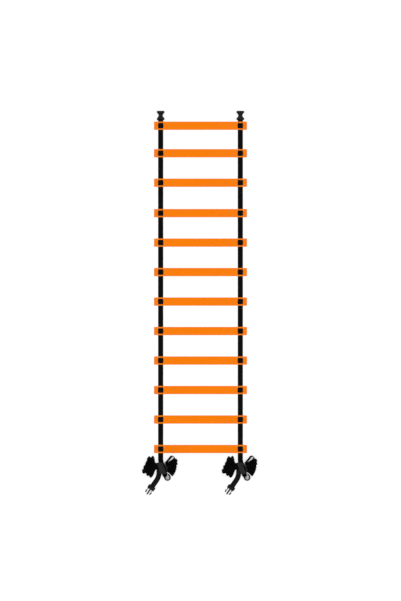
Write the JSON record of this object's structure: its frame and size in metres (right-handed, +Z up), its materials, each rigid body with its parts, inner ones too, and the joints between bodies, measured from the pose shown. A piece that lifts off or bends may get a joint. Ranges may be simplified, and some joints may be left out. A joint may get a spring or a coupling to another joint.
{
  "type": "agility ladder",
  "caption": "Flat agility ladder: slats that slide on webbing straps, with a side-release buckle half at each strap end and the spare webbing hanked and wrapped.",
  "frame": {"origin": "centre of the first rung's underside, on the ground", "axes": "+Y along the ladder from the hanks towards the socket ends, +X across it along the rungs, +Z up"},
  "size_m": [0.5368, 1.7861, 0.0321],
  "materials": {
    "rung": "glossy orange moulded plastic",
    "webbing": "matt black woven webbing",
    "buckle": "satin black moulded plastic"
  },
  "bodies": {
    "bay_01": {"left_strap_01": "webbing", "right_strap_01": "webbing"},
    "bay_02": {"left_strap_02": "webbing", "right_strap_02": "webbing"},
    "bay_03": {"left_strap_03": "webbing", "right_strap_03": "webbing"},
    "bay_04": {"left_strap_04": "webbing", "right_strap_04": "webbing"},
    "bay_05": {"left_strap_05": "webbing", "right_strap_05": "webbing"},
    "bay_06": {"left_strap_06": "webbing", "right_strap_06": "webbing"},
    "bay_07": {"left_strap_07": "webbing", "right_strap_07": "webbing"},
    "bay_08": {"left_strap_08": "webbing", "right_strap_08": "webbing"},
    "bay_09": {"left_strap_09": "webbing", "right_strap_09": "webbing"},
    "bay_10": {"left_strap_10": "webbing", "right_strap_10": "webbing"},
    "bay_11": {"left_strap_11": "webbing", "right_strap_11": "webbing"},
    "bay_12": {"left_strap_12": "webbing", "right_strap_12": "webbing"},
    "rung_01": {"rung_01": "rung"},
    "rung_02": {"rung_02": "rung"},
    "rung_03": {"rung_03": "rung"},
    "rung_04": {"rung_04": "rung"},
    "rung_05": {"rung_05": "rung"},
    "rung_06": {"rung_06": "rung"},
    "rung_07": {"rung_07": "rung"},
    "rung_08": {"rung_08": "rung"},
    "rung_09": {"rung_09": "rung"},
    "rung_10": {"rung_10": "rung"},
    "rung_11": {"rung_11": "rung"},
    "rung_12": {"rung_12": "rung"},
    "left_socket": {"left_socket": "buckle"},
    "left_hank": {"left_hank": "webbing", "left_wrap": "webbing"},
    "left_tail": {"left_tail": "webbing"},
    "left_plug": {"left_plug": "buckle"},
    "left_plug_left_arm": {"left_plug_left_arm": "buckle"},
    "left_plug_right_arm": {"left_plug_right_arm": "buckle"},
    "right_socket": {"right_socket": "buckle"},
    "right_hank": {"right_hank": "webbing", "right_wrap": "webbing"},
    "right_tail": {"right_tail": "webbing"},
    "right_plug": {"right_plug": "buckle"},
    "right_plug_left_arm": {"right_plug_left_arm": "buckle"},
    "right_plug_right_arm": {"right_plug_right_arm": "buckle"}
  },
  "joints": [
    {"name": "crease_01", "type": "hinge", "parent": "bay_02", "child": "bay_01", "pos_m": [0, -0.06396, 0.0042], "axis": [1, 0, 0], "range_deg": [0, 175]},
    {"name": "crease_02", "type": "hinge", "parent": "bay_03", "child": "bay_02", "pos_m": [0, -0.19646, -0.0002], "axis": [-1, 0, 0], "range_deg": [0, 175]},
    {"name": "crease_03", "type": "hinge", "parent": "bay_04", "child": "bay_03", "pos_m": [0, -0.33569, 0.0042], "axis": [1, 0, 0], "range_deg": [0, 175]},
    {"name": "crease_04", "type": "hinge", "parent": "bay_05", "child": "bay_04", "pos_m": [0, -0.47491, -0.0002], "axis": [-1, 0, 0], "range_deg": [0, 175]},
    {"name": "crease_05", "type": "hinge", "parent": "bay_06", "child": "bay_05", "pos_m": [0, -0.61201, 0.0042], "axis": [1, 0, 0], "range_deg": [0, 175]},
    {"name": "crease_06", "type": "hinge", "parent": "bay_06", "child": "bay_07", "pos_m": [0, -0.74911, -0.0002], "axis": [1, 0, 0], "range_deg": [0, 175]},
    {"name": "crease_07", "type": "hinge", "parent": "bay_07", "child": "bay_08", "pos_m": [0, -0.88621, 0.0042], "axis": [-1, 0, 0], "range_deg": [0, 175]},
    {"name": "crease_08", "type": "hinge", "parent": "bay_08", "child": "bay_09", "pos_m": [0, -1.02331, -0.0002], "axis": [1, 0, 0], "range_deg": [0, 175]},
    {"name": "crease_09", "type": "hinge", "parent": "bay_09", "child": "bay_10", "pos_m": [0, -1.16041, 0.0042], "axis": [-1, 0, 0], "range_deg": [0, 175]},
    {"name": "crease_10", "type": "hinge", "parent": "bay_10", "child": "bay_11", "pos_m": [0, -1.29751, -0.0002], "axis": [1, 0, 0], "range_deg": [0, 175]},
    {"name": "crease_11", "type": "hinge", "parent": "bay_11", "child": "bay_12", "pos_m": [0, -1.42861, 0.0042], "axis": [-1, 0, 0], "range_deg": [0, 160]},
    {"name": "rung_01_slide", "type": "slide", "parent": "bay_01", "child": "rung_01", "axis": [0, -1, 0], "range_m": [0, 0.043]},
    {"name": "rung_02_slide", "type": "slide", "parent": "bay_02", "child": "rung_02", "axis": [0, 1, 0], "range_m": [-0.047, 0.043]},
    {"name": "rung_03_slide", "type": "slide", "parent": "bay_03", "child": "rung_03", "axis": [0, -1, 0], "range_m": [-0.047, 0.047]},
    {"name": "rung_04_slide", "type": "slide", "parent": "bay_04", "child": "rung_04", "axis": [0, 1, 0], "range_m": [-0.047, 0.047]},
    {"name": "rung_05_slide", "type": "slide", "parent": "bay_05", "child": "rung_05", "axis": [0, -1, 0], "range_m": [-0.047, 0.047]},
    {"name": "rung_06_slide", "type": "slide", "parent": "bay_06", "child": "rung_06", "axis": [0, 1, 0], "range_m": [-0.047, 0.047]},
    {"name": "rung_07_slide", "type": "slide", "parent": "bay_07", "child": "rung_07", "axis": [0, -1, 0], "range_m": [-0.047, 0.047]},
    {"name": "rung_08_slide", "type": "slide", "parent": "bay_08", "child": "rung_08", "axis": [0, 1, 0], "range_m": [-0.047, 0.047]},
    {"name": "rung_09_slide", "type": "slide", "parent": "bay_09", "child": "rung_09", "axis": [0, -1, 0], "range_m": [-0.047, 0.047]},
    {"name": "rung_10_slide", "type": "slide", "parent": "bay_10", "child": "rung_10", "axis": [0, 1, 0], "range_m": [-0.047, 0.047]},
    {"name": "rung_11_slide", "type": "slide", "parent": "bay_11", "child": "rung_11", "axis": [0, -1, 0], "range_m": [-0.047, 0.041]},
    {"name": "rung_12_slide", "type": "slide", "parent": "bay_12", "child": "rung_12", "axis": [0, 1, 0], "range_m": [-0.004, 0.05]},
    {"name": "left_socket_swing", "type": "hinge", "parent": "bay_01", "child": "left_socket", "pos_m": [-0.1852, 0.028, 0.0032], "axis": [-1, 0, 0], "range_deg": [-100, 0]},
    {"name": "left_hank_lift", "type": "hinge", "parent": "bay_12", "child": "left_hank", "pos_m": [-0.1852, -1.53316, 0.0025], "axis": [1, 0, 0], "range_deg": [-40, 0]},
    {"name": "left_tail_lift", "type": "hinge", "parent": "left_hank", "child": "left_tail", "pos_m": [-0.193, -1.61921, 0.002], "axis": [1, 0, 0], "range_deg": [-35, 0]},
    {"name": "left_plug_swing", "type": "hinge", "parent": "left_tail", "child": "left_plug", "pos_m": [-0.2242, -1.67736, 0.0032], "axis": [0.8191, -0.5736, 0], "range_deg": [-100, 0]},
    {"name": "left_plug_left_arm_press", "type": "hinge", "parent": "left_plug", "child": "left_plug_left_arm", "pos_m": [-0.22431, -1.6967, 0.0038], "axis": [0, 0, -1], "range_deg": [0, 12], "stiffness_Nm_per_rad": 0.3},
    {"name": "left_plug_right_arm_press", "type": "hinge", "parent": "left_plug", "child": "left_plug_right_arm", "pos_m": [-0.24233, -1.68408, 0.0038], "axis": [0, 0, 1], "range_deg": [0, 12], "stiffness_Nm_per_rad": 0.3},
    {"name": "right_socket_swing", "type": "hinge", "parent": "bay_01", "child": "right_socket", "pos_m": [0.1852, 0.028, 0.0032], "axis": [-1, 0, 0], "range_deg": [-100, 0]},
    {"name": "right_hank_lift", "type": "hinge", "parent": "bay_12", "child": "right_hank", "pos_m": [0.1852, -1.53316, 0.0025], "axis": [1, 0, 0], "range_deg": [-40, 0]},
    {"name": "right_tail_lift", "type": "hinge", "parent": "right_hank", "child": "right_tail", "pos_m": [0.1774, -1.61921, 0.002], "axis": [1, 0, 0], "range_deg": [-35, 0]},
    {"name": "right_plug_swing", "type": "hinge", "parent": "right_tail", "child": "right_plug", "pos_m": [0.1462, -1.67736, 0.0032], "axis": [0.8191, -0.5736, 0], "range_deg": [-100, 0]},
    {"name": "right_plug_left_arm_press", "type": "hinge", "parent": "right_plug", "child": "right_plug_left_arm", "pos_m": [0.14609, -1.6967, 0.0038], "axis": [0, 0, -1], "range_deg": [0, 12], "stiffness_Nm_per_rad": 0.3},
    {"name": "right_plug_right_arm_press", "type": "hinge", "parent": "right_plug", "child": "right_plug_right_arm", "pos_m": [0.12807, -1.68408, 0.0038], "axis": [0, 0, 1], "range_deg": [0, 12], "stiffness_Nm_per_rad": 0.3}
  ]
}
